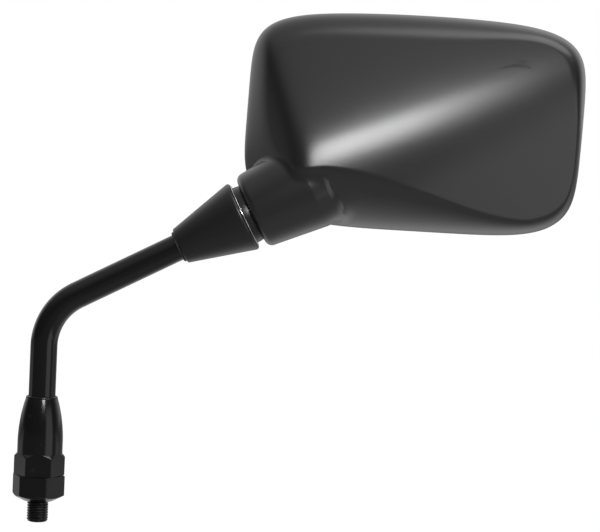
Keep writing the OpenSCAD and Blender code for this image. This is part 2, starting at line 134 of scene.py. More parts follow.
def finish(name, base, roughness, fixed=None, grain=None, blotch=0.05, wear=None, metallic=0.0):
    # one surface finish: base colour, roughness, its grain and the slow changes over it
    material = bpy.data.materials.new(name)
    maker = NodeMaker(material)
    shader = maker.tree.nodes["Principled BSDF"]
    shader.inputs["Metallic"].default_value = metallic
    for socket, value in (fixed or {}).items():
        shader.inputs[socket].default_value = value
    where = maker.add("ShaderNodeTexCoord", output=3)
    slow = maker.noise(where, texture["slow"], 3.0, 0.55)
    fine = maker.noise(where, texture["fine"], 2.0)
    change = (slow - 0.5) * blotch + (fine - 0.5) * (blotch * 0.5)
    shade = maker.mix(0.5 + change * 2.0, tinted(base, texture["dark"]), tinted(base, texture["light"]))
    if wear:
        # handling pales the surface in small soft patches
        patches = maker.spread(maker.noise(where, wear["scale"], 5.0), texture["wornFrom"], texture["wornTo"])
        shade = maker.mix(patches * wear["share"], shade, wear["colour"] + (1.0,))
    maker.link(shade, shader.inputs["Base Color"])
    maker.link(roughness * (1.0 + change * texture["roughSwing"]), shader.inputs["Roughness"])
    if grain:
        height = None
        for scale, amount in grain:
            bumps = maker.noise(where, scale, 2.0) * amount
            height = bumps if height is None else height + bumps
        maker.bump(height, shader)
    return material


rings = {"dark": 0.8, "light": 1.12, "drawnOut": 0.05, "stains": 160.0, "roughSwing": 0.12, "depth": 0.004}


def turnedRings(name, base, roughness, scale):
    # bright metal with fine marks round the stem's upper run
    material = bpy.data.materials.new(name)
    maker = NodeMaker(material)
    shader = maker.tree.nodes["Principled BSDF"]
    shader.inputs["Metallic"].default_value = 1.0
    where = maker.add("ShaderNodeTexCoord", output=3)
    along = maker.mapped(where, Rotation=(0.0, -bendTurn, 0.0))
    streaks = maker.noise(maker.mapped(along, Scale=(rings["drawnOut"], rings["drawnOut"], 1.0)), scale, 3.0)
    stains = maker.noise(where, rings["stains"], 3.0)
    shade = maker.mix(streaks * 0.5 + stains * 0.5, tinted(base, rings["dark"]), tinted(base, rings["light"]))
    maker.link(shade, shader.inputs["Base Color"])
    maker.link(roughness + (streaks - 0.5) * rings["roughSwing"], shader.inputs["Roughness"])
    maker.bump(streaks * rings["depth"], shader)
    return material


finishes = {
    "housing": finish("housing_black_satin", (0.0105, 0.0105, 0.0108), 0.28, {"IOR": 1.53},
                      grain=[(5200.0, 0.006), (1500.0, 0.004)], blotch=0.05),
    "moulded": finish("moulded_black", (0.0085, 0.0085, 0.0088), 0.34, {"IOR": 1.42},
                      grain=[(4200.0, 0.008), (900.0, 0.004)], blotch=0.08),
    "ball": finish("ball_black", (0.0085, 0.0085, 0.0087), 0.33, {"IOR": 1.42},
                   grain=[(3000.0, 0.004)], blotch=0.08),
    "stem": finish("stem_gloss_black", (0.006, 0.006, 0.0062), 0.16, {"IOR": 1.38},
                   grain=[(700.0, 0.006)], blotch=0.08),
    "foot": finish("foot_gloss_black", (0.006, 0.006, 0.0062), 0.17, {"IOR": 1.38},
                   grain=[(900.0, 0.006)], blotch=0.1,
                   wear={"scale": 260.0, "share": 0.2, "colour": (0.05, 0.05, 0.05)}),
    "rubber": finish("rubber_black", (0.0125, 0.0125, 0.0125), 0.62, {"IOR": 1.5},
                     grain=[(1800.0, 0.01)], blotch=0.1),
    "nylon": finish("nylon_natural", (0.62, 0.6, 0.53), 0.42, {"IOR": 1.53},
                    grain=[(1200.0, 0.006)], blotch=0.06),
    "foam": finish("foam_pad", (0.05, 0.05, 0.05), 0.85, None, grain=[(2400.0, 0.05)], blotch=0.16),
    "zinc": turnedRings("zinc_bright", (0.78, 0.78, 0.79), 0.2, 5200.0),
    "spring": turnedRings("spring_wire", (0.42, 0.42, 0.44), 0.32, 3000.0),
    "mirror": finish("mirror_silvered", (0.88, 0.9, 0.91), 0.015, None, blotch=0.01, metallic=1.0),
}
print("finishes made:", len(finishes))

cadFinishes = {
    "friction_washer": "nylon", "slip_washer": "zinc", "pressure_cup": "zinc", "clamp_spring": "spring",
    "spring_washer": "zinc", "lock_nut": "zinc", "liner": "nylon", "glass_pad": "foam",
    "backing_plate": "moulded", "plate_screws": "zinc",
}
for node, finishName in cadFinishes.items():
    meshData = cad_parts[node].data
    meshData.materials.clear()
    meshData.materials.append(finishes[finishName])


def keepPiece(bm, name, body, nodes, finishName, place=None, sharpFrom=None):
    # turns a finished bmesh into a piece, in metres, with its place in its mesh
    if place is not None:
        bm.transform(place)
    bm.transform(Matrix.Scale(mm, 4))
    meshData = bpy.data.meshes.new(name)
    bm.to_mesh(meshData)
    bm.free()
    piece = bpy.data.objects.new(name, meshData)
    bpy.context.scene.collection.objects.link(piece)
    meshData.materials.append(finishes[finishName])
    meshData.shade_smooth()
    if sharpFrom:
        meshData.set_sharp_from_angle(angle=math.radians(sharpFrom))
    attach(piece, body)
    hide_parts(*nodes)
    print("piece:", name, len(meshData.polygons))


def roundedLine(corners, bends=6, spacing=None):
    # points of a closed section, each corner (r, z) rounded by its third number
    line = []
    count = len(corners)
    for k, corner in enumerate(corners):
        at = Vector(corner[:2])
        rounding = corner[2] if len(corner) > 2 else 0.0
        if not rounding:
            line.append(at)
            continue
        to = (Vector(corners[k - 1][:2]) - at).normalized()
        away = (Vector(corners[(k + 1) % count][:2]) - at).normalized()
        half = to.angle(away) / 2
        start, end = at + to * (rounding / math.tan(half)), at + away * (rounding / math.tan(half))
        centre = at + (to + away).normalized() * (rounding / math.sin(half))
        for b in range(bends + 1):
            line.append(centre + (start - centre).slerp(end - centre, b / bends) * rounding)
    if spacing:
        fine = []
        for a, b in zip(line, line[1:] + line[:1]):
            parts = max(1, math.ceil((b - a).length / spacing))
            fine += [a.lerp(b, p / parts) for p in range(parts)]
        line = fine
    return line


def spunPiece(line, closed=True, steps=144):
    # a section in the XZ plane, turned once round Z
    bm = bmesh.new()
    verts = [bm.verts.new((p.x, 0.0, p.y)) for p in line]
    edges = [bm.edges.new(pair) for pair in zip(verts, verts[1:])]
    if closed:
        edges.append(bm.edges.new((verts[-1], verts[0])))
    bmesh.ops.spin(bm, geom=verts + edges, cent=(0, 0, 0), axis=(0, 0, 1), angle=2 * math.pi,
                   steps=steps, use_merge=True)
    bmesh.ops.remove_doubles(bm, verts=bm.verts, dist=1e-4)
    bmesh.ops.dissolve_degenerate(bm, edges=bm.edges, dist=1e-5)
    bmesh.ops.recalc_face_normals(bm, faces=bm.faces)
    return bm


def softMin(a, b, soft):
    return (a + b - math.sqrt((a - b) ** 2 + soft * soft)) / 2


def squareToHexagon(bm, flats, turned, low, high, soft=0.12):
    # draws a round zone in to the flats of a hexagon, with slightly broken edges
    for vert in bm.verts:
        radius = math.hypot(vert.co.x, vert.co.y)
        if low - 1e-4 <= vert.co.z <= high + 1e-4 and radius > flats * 0.4:
            angle = math.atan2(vert.co.y, vert.co.x)
            off = (angle - math.radians(turned)) % (math.pi / 3) - math.pi / 6
            drawn = softMin(radius, flats / 2 / math.cos(off), soft) / radius
            vert.co.x *= drawn
            vert.co.y *= drawn


# foot
foot = {"flats": 22.0, "height": 12.1, "turned": -8.0, "seat": 7.2, "chamfer": 28.0, "spigot": 8.0,
        "spigotTop": 24.3, "stud": 5.0, "studLength": 10.2, "pitch": 1.25, "root": 4.5, "crestEdge": 0.04,
        "threadTop": 1.5, "endRound": 1.4, "steps": 96}


def threadedStud():
    # one zigzag line screwed round the axis, a pitch a turn
    bm = bmesh.new()
    root, crest, edge = foot["root"], foot["stud"], foot["stud"] - foot["crestEdge"]
    zigzag = []
    turns = math.ceil((foot["studLength"] + 2) / foot["pitch"]) + 3
    for turn in range(turns):
        base = -foot["studLength"] - 2 * foot["pitch"] + turn * foot["pitch"]
        for radius, up in ((root, 0.0), (root, 0.16), (edge, 0.44), (crest, 0.5), (crest, 0.92),
                           (edge, 0.98)):
            zigzag.append(bm.verts.new((radius, 0.0, base + up)))
    edges = [bm.edges.new(pair) for pair in zip(zigzag, zigzag[1:])]
    bmesh.ops.spin(bm, geom=zigzag + edges, cent=(0, 0, 0), axis=(0, 0, 1), angle=2 * math.pi,
                   dvec=(0, 0, foot["pitch"] / foot["steps"]), steps=foot["steps"])
    bmesh.ops.remove_doubles(bm, verts=bm.verts, dist=1e-3)
    for level, side in ((-foot["studLength"], -1), (foot["threadTop"], 1)):
        bmesh.ops.bisect_plane(bm, geom=bm.verts[:] + bm.edges[:] + bm.faces[:], dist=1e-4,
                               plane_co=(0, 0, level), plane_no=(0, 0, side), clear_outer=True)
    for vert in bm.verts:
        # the end is rounded off
        over, corner = vert.co.z + foot["studLength"], foot["endRound"]
        if over < corner:
            limit = foot["stud"] - corner + math.sqrt(max(0.0, corner ** 2 - (corner - over) ** 2))
            radius = math.hypot(vert.co.x, vert.co.y)
            if radius > limit:
                vert.co.x *= limit / radius
                vert.co.y *= limit / radius
    bmesh.ops.holes_fill(bm, edges=[e for e in bm.edges if e.is_boundary], sides=0)
    bmesh.ops.recalc_face_normals(bm, faces=bm.faces)
    return bm


def joinInto(bm, other, place=None):
    # adds the shells of one bmesh to another
    if place is not None:
        other.transform(place)
    meshData = bpy.data.meshes.new("part")
    other.to_mesh(meshData)
    other.free()
    bm.from_mesh(meshData)
    bpy.data.meshes.remove(meshData)


cornerR = foot["flats"] / 2 / math.cos(math.radians(30))
chamferTop = (cornerR - foot["seat"]) * math.tan(math.radians(foot["chamfer"]))
adapter = spunPiece(roundedLine([
    (0.0, 0.0), (foot["seat"], 0.0, 0.5), (cornerR, chamferTop, 0.15), (cornerR, foot["height"], 0.25),
    (foot["spigot"], foot["height"]), (foot["spigot"], foot["spigotTop"], 0.8), (0.0, foot["spigotTop"])],
    spacing=0.3), closed=False, steps=180)  # steps a multiple of 6, for the corners
squareToHexagon(adapter, foot["flats"], foot["turned"], 0.0, foot["height"])
joinInto(adapter, threadedStud())
keepPiece(adapter, "adapter_hexagon_stud", "foot", ["adapter"], "foot", sharpFrom=50)

capNut = {"low": 12.3, "flats": 21.0, "hexHeight": 10.4, "turned": 5.0, "top": 49.7, "belt": 10.7,
          "topR": 7.5, "beltHeight": 4.9, "edge": 0.9, "bore": 6.45, "socket": 8.05, "shoulder": 30.3,
          "chamfer": 50.0}
hexTop = capNut["low"] + capNut["hexHeight"]


def nutSide(parts=24):
    # the tapered side, an arc from the belt to the top edge
    start = hexTop + capNut["beltHeight"]
    tall = capNut["top"] - capNut["edge"] - start
    drop = capNut["belt"] - capNut["topR"]
    arc = (tall * tall + drop * drop) / 2 / drop
    side = []
    for k in range(1, parts + 1):
        z = tall * k / parts
        side.append((capNut["belt"] - arc + math.sqrt(arc * arc - z * z), start + z))
    return side


cornerR = capNut["flats"] / 2 / math.cos(math.radians(30))
innerR = capNut["belt"] - 0.1
slope = math.tan(math.radians(capNut["chamfer"]))
chamferLow = hexTop - (cornerR - innerR) * slope
chamferTop = hexTop - (capNut["belt"] - innerR) * slope
nut = spunPiece(roundedLine(
    [(capNut["socket"], capNut["low"]), (cornerR, capNut["low"], 0.25), (cornerR, chamferLow, 0.25),
     (capNut["belt"], chamferTop, 0.1)]
    + nutSide()
    + [(capNut["topR"] - 0.05, capNut["top"], 0.6), (capNut["bore"], capNut["top"], 0.2),
       (capNut["bore"], capNut["shoulder"]), (capNut["socket"], capNut["shoulder"])], spacing=0.3), steps=180)
squareToHexagon(nut, capNut["flats"], capNut["turned"], capNut["low"], chamferTop)
keepPiece(nut, "cap_nut_tapered", "foot", ["cap_nut"], "foot", sharpFrom=50)

# stem
stem = {"flangeLow": 25.8, "flangeTop": 28.8, "flange": 7.8, "rod": 6.35, "corner": 90.3, "bend": 28.0,
        "reach": 105.0, "shoulder": -9.9, "shank": 4.0, "shankEnd": 40.6, "lowParts": 12, "runParts": 16}
tangent = stem["bend"] * math.tan(bendTurn / 2)
bm = bmesh.new()
ring = bmesh.ops.create_circle(bm, cap_ends=True, radius=stem["flange"], segments=96)["verts"]
bmesh.ops.translate(bm, verts=ring, vec=(0, 0, stem["flangeLow"]))
edge = [e for e in bm.edges if e.is_boundary]


def grow(bm, edge, move=None, radius=None, centre=None):
    # extrudes the open end of a rod, then slides or narrows it
    made = bmesh.ops.extrude_edge_only(bm, edges=edge)["geom"]
    verts = [g for g in made if isinstance(g, bmesh.types.BMVert)]
    if radius is not None:
        for vert in verts:
            vert.co = centre + (vert.co - centre).normalized() * radius
    if move is not None:
        bmesh.ops.translate(bm, verts=verts, vec=move)
    return [g for g in made if isinstance(g, bmesh.types.BMEdge)]


edge = grow(bm, edge, move=(0, 0, stem["flangeTop"] - stem["flangeLow"]))
edge = grow(bm, edge, radius=stem["rod"], centre=Vector((0, 0, stem["flangeTop"])))
straight = stem["corner"] - tangent - stem["flangeTop"]
for k in range(stem["lowParts"]):
    edge = grow(bm, edge, move=(0, 0, straight / stem["lowParts"]))
turned = bmesh.ops.spin(bm, geom=edge, cent=(stem["bend"], 0, stem["corner"] - tangent), axis=(0, 1, 0),
                        angle=bendTurn, steps=48)["geom_last"]
edge = [g for g in turned if isinstance(g, bmesh.types.BMEdge)]
runDirection = Vector((math.cos(math.radians(runAngle)), 0, math.sin(math.radians(runAngle))))
run = stem["reach"] - tangent + stem["shoulder"]
for k in range(stem["runParts"]):
    edge = grow(bm, edge, move=runDirection * (run / stem["runParts"]))
edge = grow(bm, edge, radius=stem["shank"], centre=ballAt + runDirection * stem["shoulder"])
edge = grow(bm, edge, move=runDirection * (stem["shankEnd"] - stem["shoulder"]))
bmesh.ops.holes_fill(bm, edges=edge, sides=0)
bmesh.ops.recalc_face_normals(bm, faces=bm.faces)
keepPiece(bm, "stem_bent_rod", "stem", ["stem"], "stem", sharpFrom=40)

# cone cover, ring, cup and ball, all on the upper run
cone = {"mouth": 17.35, "tip": 8.75, "mouthAt": -0.7, "length": 33.6, "inner": 15.45, "bore": 6.4,
        "grip": 6.0, "step": 0.9, "edge": 1.4, "tipEdge": 1.0}
sealRing = {"middle": 6.95, "radius": 0.6, "points": 24}
cup = {"inner": 14.45, "outer": 15.35, "floor": -9.9, "seat": -9.0, "bore": 4.1, "lip": -0.4, "lipEdge": 0.2,
       "room": 0.05}
ball = {"radius": 14.1, "flat": -9.0, "bore": 4.05, "parts": 64}
tipAt = cone["mouthAt"] - cone["length"]


def arcPoints(radius, low, high, parts):
    # points on a circle about the ball centre between two heights on the axis
    start, end = math.asin(low / radius), math.asin(high / radius)
    angles = [start + (end - start) * k / parts for k in range(parts + 1)]
    return [(radius * math.cos(a), radius * math.sin(a)) for a in angles]


def coneInside(at):
    # the bore narrows towards the tip, and bulges where the cup sits
    narrowing = cone["inner"] - cone["bore"] - cone["step"]
    line = cone["inner"] - (cone["mouthAt"] - at) * narrowing / (cone["length"] - cone["grip"])
    return max(line, math.sqrt(max(0.0, (cup["outer"] + cup["room"]) ** 2 - at ** 2)))


levels = [cone["mouthAt"] + (cup["floor"] - cone["mouthAt"]) * k / 16 for k in range(1, 17)]
keepPiece(spunPiece(roundedLine(
    [(cone["bore"], tipAt, 0.3), (cone["tip"] - 0.1, tipAt, cone["tipEdge"]),
     (cone["mouth"], cone["mouthAt"], cone["edge"]), (cone["inner"], cone["mouthAt"])]
    + [(coneInside(at), at) for at in levels]
    + [(cone["bore"] + cone["step"], tipAt + cone["grip"]), (cone["bore"], tipAt + cone["grip"])], spacing=2.0)),
    "cone_cover_moulded", "stem", ["cone_cover"], "moulded", place=onAxis, sharpFrom=50)

angles = [a * math.pi / (sealRing["points"] / 2) for a in range(sealRing["points"])]
keepPiece(spunPiece([Vector((sealRing["middle"] + sealRing["radius"] * math.cos(a),
                             tipAt - sealRing["radius"] + sealRing["radius"] * math.sin(a))) for a in angles]),
          "seal_ring_round", "stem", ["seal_ring"], "rubber", place=onAxis)

keepPiece(spunPiece(roundedLine(
    [(cup["bore"], cup["floor"])] + arcPoints(cup["outer"], cup["floor"], cup["lip"] - cup["lipEdge"], 14)
    + [(cup["outer"] - 0.01, cup["lip"], cup["lipEdge"]), (cup["inner"] - 0.005, cup["lip"], cup["lipEdge"])]
    + arcPoints(cup["inner"], cup["lip"] - cup["lipEdge"], cup["seat"], 14)
    + [(cup["bore"], cup["seat"])], spacing=1.0)),
    "seat_cup_pressed", "stem", ["seat_cup"], "zinc", place=onAxis, sharpFrom=50)

flatAngle = math.acos(ball["flat"] / ball["radius"])
boreAngle = math.asin(ball["bore"] / ball["radius"])
angles = [flatAngle + (boreAngle - flatAngle) * k / ball["parts"] for k in range(ball["parts"] + 1)]
ballLine = [Vector((ball["radius"] * math.sin(a), ball["radius"] * math.cos(a))) for a in angles]
keepPiece(spunPiece([Vector((ball["bore"], ball["flat"]))] + ballLine),
          "ball_swivel", "ball", ["ball"], "ball", place=onAxis, sharpFrom=50)
print("stem side made")

# head
head = {"rimY": 21.0, "left": 82.1, "right": 77.3, "top": 54.0, "bow": 4.3, "bottom": 48.8, "lean": 0.023,
        "squares": {"topLeft": 6.7, "topRight": 5.7, "lowRight": 5.0, "lowLeft": 3.7},
        "wall": 2.5, "skirt": 6.0, "rimEdge": 0.7, "straight": (17.0, 18.6, 19.6), "straightInside": 18.0,
        "nose": Vector((-56.2, -11.7)), "noseDepth": 43.0, "ridgeAngle": 24.6, "ridgeLength": 111.96,
        "ridgeFall": 13.0, "softNose": 2.6, "softEnd": 6.5,
        "slopeAbove": 0.40, "rise": 0.13, "crown": 0.0046, "crownTo": 42.0,
        "cheekUp": 2.0, "cheekSlope": 1.2, "cheekSoft": 5.0, "roofWall": 1.06, "cheekWall": 1.5,
        "roundLeft": 14.0, "roundRight": 8.0, "roundTop": 14.0, "roundLowNose": 36.0, "roundLowEnd": 7.0,
        "fullness": 2.4, "lowFullness": (1.45, 1.9), "columns": 288, "outerRows": 84, "innerRows": 30}
ridgeAlong = Vector((math.cos(math.radians(head["ridgeAngle"])), math.sin(math.radians(head["ridgeAngle"]))))
ridgeAcross = Vector((-ridgeAlong.y, ridgeAlong.x))


def rimPoint(angle, inset):
    # the rim's outline, four rounded quarters of unlike squareness
    c, s = math.cos(angle), math.sin(angle)
    squares = head["squares"]
    n = (squares["topLeft"] if c < 0 else squares["topRight"]) if s > 0 else (
        squares["lowLeft"] if c < 0 else squares["lowRight"])
    f = (abs(c) ** n + abs(s) ** n) ** (-1 / n)
    u = ((head["left"] if c < 0 else head["right"]) - inset) * c * f
    half = head["top"] - head["bow"] * (c * f) ** 2 if s > 0 else head["bottom"]
    v = (half - inset) * s * f
    return Vector((u + head["lean"] * v, v))


def roofDepth(p, inset):
    # how far behind the rim the two faces, the ridge and the cheek lie
    away = p - head["nose"]
    q, side = away.dot(ridgeAlong), away.dot(ridgeAcross)
    share = min(1.0, max(0.0, q / head["ridgeLength"]))
    soft = head["softNose"] + (head["softEnd"] - head["softNose"]) * share
    crest = head["noseDepth"] + soft / 2 - head["ridgeFall"] * q / head["ridgeLength"]
    # the face under the ridge is crowned: it still rises a little, then bends over
    below = max(0.0, -side)
    bent = min(below, head["crownTo"])
    fall = head["crown"] * (bent * bent + 2 * bent * (below - bent))
    face = -head["rise"] * side - fall
    roof = softMin(crest - head["slopeAbove"] * side, crest + face, soft)
    cheek = head["noseDepth"] + head["cheekUp"] + head["cheekSlope"] * (p.x - head["nose"].x)
    return softMin(roof - head["roofWall"] * inset, cheek - head["cheekWall"] * inset, head["cheekSoft"])


def backPoint(angle, share, inset):
    # a point of the back, on the way from the rim to the ridge
    rim = rimPoint(angle, inset)
    ridge = head["nose"] + ridgeAlong * (head["ridgeLength"] / 2) * (1 + math.cos(angle))
    p = rim.lerp(ridge, share)
    c, s = math.cos(angle), math.sin(angle)
    along = min(1.0, max(0.0, (rim.x - head["nose"].x) / head["ridgeLength"]))
    low = head["roundLowNose"] + (head["roundLowEnd"] - head["roundLowNose"]) * along
    side = head["roundLeft"] if c < 0 else head["roundRight"]
    width = side * c * c + (head["roundTop"] if s > 0 else low) * s * s
    span = (ridge - rim).length
    f = span * share / min(width, 0.9 * span)
    fullness = head["fullness"]
    if s < 0:
        # the lower wall is nearly a slanted face under the nose
        near, far = head["lowFullness"]
        fullness += (near + (far - near) * along - head["fullness"]) * min(1.0, 1.6 * s * s)
    rise = 1.0 if f >= 1 else (1 - (1 - f) ** fullness) ** (1 / fullness)
    return Vector((p.x, head["rimY"] - head["skirt"] - (roofDepth(p, inset) - head["skirt"]) * rise, p.y))


def sheetRows(solid):
    # what each row of the shell stands for: from the ridge outside, round the rim, to the ridge inside
    outer, inner = head["outerRows"], head["innerRows"]
    rows = []
    for k in range(outer, -1, -1):
        x = k / outer
        rows.append(("back", 0.62 * x ** 1.7 + 0.38 * (1 - (1 - x) ** 1.7), 0.0))
    for y in head["straight"]:
        rows.append(("wall", y, 0.0))
    edge = head["rimEdge"]
    for k in range(6):
        a = math.pi / 2 * k / 5
        rows.append(("wall", head["rimY"] - edge + edge * math.sin(a), edge * (1 - math.cos(a))))
    if solid:
        return rows + [("front", share, edge) for share in (0.75, 0.5, 0.25, 0.0)]
    wall = head["wall"]
    for k in range(5, -1, -1):
        a = math.pi / 2 * k / 5
        rows.append(("wall", head["rimY"] - edge / 2 + edge / 2 * math.sin(a),
                     wall - edge / 2 * (1 - math.cos(a))))
    rows.append(("wall", head["straightInside"], wall))
    return rows + [("back", (k / inner) ** 1.5, wall) for k in range(inner + 1)]


def shellSheet(rows):
    # a grid wrapped once round the head, its rows laid along the section
    columns = head["columns"]
    bm = bmesh.new()
    bmesh.ops.create_grid(bm, x_segments=columns, y_segments=len(rows) - 1, size=1.0)
    for vert in bm.verts:
        angle = math.pi * (vert.co.x + 1)
        kind, value, inset = rows[round((vert.co.y + 1) / 2 * (len(rows) - 1))]
        if kind == "back":
            place = backPoint(angle, value, inset)
        elif kind == "front":
            rim = rimPoint(angle, inset) * value
            place = Vector((rim.x, head["rimY"], rim.y))
        else:
            rim = rimPoint(angle, inset)
            place = Vector((rim.x, value, rim.y))
        vert.co = inHead @ place
    bmesh.ops.remove_doubles(bm, verts=bm.verts, dist=2e-3)
    bmesh.ops.dissolve_degenerate(bm, edges=bm.edges, dist=1e-4)
    bmesh.ops.recalc_face_normals(bm, faces=bm.faces)
    return bm


neck = {"lift": 3.0, "radius": 18.5, "wide": 21.3, "wideAt": 33.0, "round": 3.5, "wall": 2.2, "floor": 4.5,
        "socketIn": 15.0, "socketOut": 17.5, "hole": 31.47, "blend": 2.4, "spacing": 0.7,
        "root": [(0.0, 0.0), (7.0, 0.6), (14.0, 4.0)], "rootNarrow": 2.0, "rootLength": 15.0}
neckFloor = neck["lift"] + neck["floor"]
neckInner = neck["wide"] - neck["wall"]


def neckOutside():
    # outer line of the neck from its rounded end to its root inside the head
    line = []
    for k in range(9):
        a = math.radians(-90 + 90 * k / 8)
        line.append(Vector((neck["radius"] - neck["round"] + neck["round"] * math.cos(a),
                            neck["lift"] + neck["round"] + neck["round"] * math.sin(a))))
    for on, narrower in neck["root"]:
        corner = Vector((neck["wide"] - narrower, neck["wideAt"] + on))
        start = line[-1]
        parts = math.ceil((corner - start).length / neck["spacing"])
        line += [start.lerp(corner, k / parts) for k in range(1, parts + 1)]
    return line


def neckInside():
    # inner line, from the root back to the mouth of the socket
    end = neck["root"][-1][0]
    line = [Vector((neckInner - neck["rootNarrow"] * end / neck["rootLength"], neck["wideAt"] + end)),
            Vector((neckInner, neck["wideAt"])), Vector((neck["radius"] - neck["wall"], neckFloor))]
    wide = math.acos(neckFloor / neck["socketOut"])
    hole = math.radians(neck["hole"])
    for k in range(13):
        a = wide + (hole - wide) * k / 12
        line.append(Vector((neck["socketOut"] * math.sin(a), neck["socketOut"] * math.cos(a))))
    low = math.acos(neck["lift"] / neck["socketIn"])
    for k in range(17):
        a = hole + (low - hole) * k / 16
        line.append(Vector((neck["socketIn"] * math.sin(a), neck["socketIn"] * math.cos(a))))
    return line


outsideLine = neckOutside()
offAxis = onAxis.inverted()


def neckDistance(point):
    # how far a point lies outside the neck, less than zero inside it
    local = offAxis @ point
    flat = Vector((math.hypot(local.x, local.y), local.z))
    best, inside = 1e9, False
    for a, b in zip(outsideLine[:-1:2], outsideLine[2::2]):
        along = b - a
        share = min(1.0, max(0.0, (flat - a).dot(along) / along.length_squared))
        gap = flat - (a + along * share)
        if gap.length < best:
            best = gap.length
            inside = gap.x * along.y - gap.y * along.x < 0
    return -best if inside else best


joint = {"low": 1.2, "swing": 0.8, "front": 19.5, "fade": 8.0, "least": 0.02, "steps": 7, "pace": 0.7,
         "most": 0.75, "pull": 0.12, "pullMost": 1.2, "near": 0.05, "behind": 20.0}


def blended(vert, normal, otherDistance, blend):
    # moves a vertex out on to a soft joint between its own surface and the other
    start = vert.co.copy()
    out = 0.0
    for step in range(joint["steps"]):
        other = otherDistance(start + normal * out)
        if other - out >= blend:
            out = 0.0
            break
        wanted = min(joint["most"] * blend, (blend - other + out) ** 2 / (4 * blend))
        out += joint["pace"] * (wanted - out)
    past = max(0.0, out - otherDistance(start + normal * out))
    return start + normal * (out - min(joint["pullMost"], joint["pull"] * past * past))


def blendAt(point):
    # the joint is tight on top, wider below, and fades out towards the front rim
    low = (offAxis @ point).x / neck["radius"]
    width = neck["blend"] * (joint["low"] + joint["swing"] * min(1.0, max(-0.8, low)))
    return width * min(1.0, max(joint["least"], (joint["front"] - point.y) / joint["fade"]))


print("head: building the shell")
solidSkin = shellSheet(sheetRows(True))
skinTree = BVHTree.FromBMesh(solidSkin)


def skinDistance(point):
    place, normal, index, distance = skinTree.find_nearest(point)
    return distance if (point - place).dot(normal) > 0 else -distance


shell = shellSheet(sheetRows(False))
shell.normal_update()
moved = {}
for vert in shell.verts:
    local = offAxis @ vert.co
    radius = math.hypot(local.x, local.y)
    onSkin = -8 < local.z < 62 and radius < 34 and abs(skinDistance(vert.co)) < joint["near"]
    if onSkin and vert.co.y < joint["behind"]:
        blend = blendAt(vert.co)
        if neckDistance(vert.co) < blend:
            moved[vert] = blended(vert, vert.normal.copy(), neckDistance, blend)
for vert, place in moved.items():
    vert.co = place
print("head: shell points blended", len(moved))

neckTube = spunPiece(outsideLine + neckInside(), steps=168)
neckTube.transform(onAxis)
neckTube.normal_update()
moved = {}
for vert in neckTube.verts:
    local = offAxis @ vert.co
    radius = math.hypot(local.x, local.y)
    outside = min((Vector((radius, local.z)) - p).length for p in outsideLine) < joint["near"]
    if outside and 4 < local.z < neck["wideAt"] + 9 and vert.co.y < joint["behind"]:
        blend = blendAt(vert.co)
        if abs(skinDistance(vert.co)) < blend + 6:
            moved[vert] = blended(vert, vert.normal.copy(), skinDistance, blend)
for vert, place in moved.items():
    vert.co = place
print("head: neck points blended", len(moved))


def looseObject(bm, name):
    # a plain object for a modifier, gone again after it
    meshData = bpy.data.meshes.new(name)
    bm.to_mesh(meshData)
    bm.free()
    made = bpy.data.objects.new(name, meshData)
    bpy.context.scene.collection.objects.link(made)
    return made


def cutAway(bm, cutter):
    # takes a closed shape out of a bmesh and gives the result back
    body, tool = looseObject(bm, "body"), looseObject(cutter, "cutter")
    cut = body.modifiers.new("cut", "BOOLEAN")
    cut.operation, cut.solver, cut.object = "DIFFERENCE", "EXACT", tool
    bpy.context.view_layer.update()
    done = body.evaluated_get(bpy.context.evaluated_depsgraph_get())
    result = bmesh.new()
    result.from_mesh(done.to_mesh())
    done.to_mesh_clear()
    for made in (body, tool):
        meshData = made.data
        bpy.data.objects.remove(made)
        bpy.data.meshes.remove(meshData)
    return result


# the neck's room goes through the wall of the head, and the glass unit's room through the neck
slack = 0.1
roomEnd = neck["wideAt"] + neck["rootLength"]
room = spunPiece([Vector((0, neckFloor)), Vector((neck["radius"] - neck["wall"] - slack, neckFloor)),
                  Vector((neckInner - slack, neck["wideAt"])),
                  Vector((neckInner - neck["rootNarrow"] - slack, roomEnd)), Vector((0, roomEnd))],
                 closed=False, steps=96)
room.transform(onAxis)
shell = cutAway(shell, room)
glassRoom = bmesh.new()
bmesh.ops.create_circle(glassRoom, cap_ends=True, radius=1.0, segments=192)
for vert in glassRoom.verts:
    rim = rimPoint(math.atan2(vert.co.y, vert.co.x), head["wall"])
    vert.co = Vector((rim.x, 15.0, rim.y))
wallFaces = bmesh.ops.extrude_face_region(glassRoom, geom=glassRoom.faces[:])["geom"]
wallVerts = [g for g in wallFaces if isinstance(g, bmesh.types.BMVert)]
bmesh.ops.translate(glassRoom, verts=wallVerts, vec=(0, 8, 0))
bmesh.ops.recalc_face_normals(glassRoom, faces=glassRoom.faces)
glassRoom.transform(inHead)
neckTube = cutAway(neckTube, glassRoom)
joinInto(shell, neckTube)

